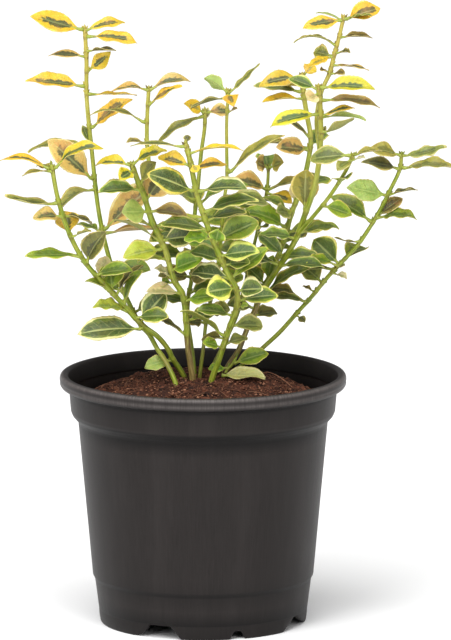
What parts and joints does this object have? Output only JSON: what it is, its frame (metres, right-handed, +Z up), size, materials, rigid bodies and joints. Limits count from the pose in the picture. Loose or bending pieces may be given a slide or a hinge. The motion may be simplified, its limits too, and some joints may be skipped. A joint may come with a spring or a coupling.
{
  "type": "potted euonymus",
  "caption": "Bushy variegated euonymus with upright leafy shoots, in a round tapered nursery pot filled with compost.",
  "frame": {"origin": "on the ground at the pot's axis, which is the middle of the flat pad under the pot's floor", "axes": "+Z up the pot's axis; -Y towards the plant's front; +X to the right of that front"},
  "size_m": [0.2658, 0.17, 0.3687],
  "materials": {
    "pot": "satin, fine vertical moulding grain",
    "soil": "rough, crumbly and fibrous",
    "stem": "smooth green bark",
    "leaf": "satin, variegated green and gold",
    "dry_leaf": "dull, mottled"
  },
  "bodies": {
    "root": {"back_thin_leaf_07": "leaf", "centre_back_leaf_03": "leaf", "centre_back_leaf_07": "leaf", "centre_back_leaf_08": "leaf", "centre_back_leaf_09": "leaf", "centre_back_leaf_10": "leaf", "centre_back_leaf_11": "leaf", "centre_back_leaf_12": "leaf", "centre_front_leaf_01": "leaf", "centre_front_leaf_04": "leaf", "centre_front_leaf_08": "leaf", "centre_front_leaf_09": "leaf", "centre_front_leaf_15": "leaf", "centre_front_leaf_22": "leaf", "centre_left_leaf_12": "leaf", "centre_left_top_leaf_04": "leaf", "centre_thin_leaf_06": "leaf", "centre_thin_leaf_11": "leaf", "centre_thin_leaf_12": "leaf", "fallen_leaf": "dry_leaf", "left_outer_leaf_01": "leaf", "left_outer_leaf_02": "leaf", "left_outer_leaf_05": "leaf", "left_outer_leaf_18": "leaf", "left_tall_leaf_01": "leaf", "left_tall_leaf_03": "leaf", "left_tall_leaf_07": "leaf", "left_tall_leaf_08": "leaf", "left_tall_leaf_09": "leaf", "left_tall_leaf_10": "leaf", "left_tall_leaf_12": "leaf", "left_tall_leaf_14": "leaf", "left_tall_leaf_16": "leaf", "pot": "pot", "right_back_leaf_01": "leaf", "right_back_leaf_04": "leaf", "right_back_leaf_11": "leaf", "right_back_leaf_18": "leaf", "right_back_leaf_20": "leaf", "right_front_leaf_01": "leaf", "right_front_leaf_04": "leaf", "right_front_leaf_07": "leaf", "right_front_leaf_10": "leaf", "right_front_leaf_12": "leaf", "right_low_leaf_01": "leaf", "right_outer_leaf_03": "leaf", "right_outer_leaf_07": "leaf", "right_tall_leaf_01": "leaf", "soil": "soil", "stem_back_thin": "stem", "stem_centre_back": "stem", "stem_centre_front": "stem", "stem_centre_left": "stem", "stem_centre_thin": "stem", "stem_ground_shoot": "stem", "stem_left_outer": "stem", "stem_left_tall": "stem", "stem_right_back": "stem", "stem_right_outer": "stem"}
  },
  "joints": []
}
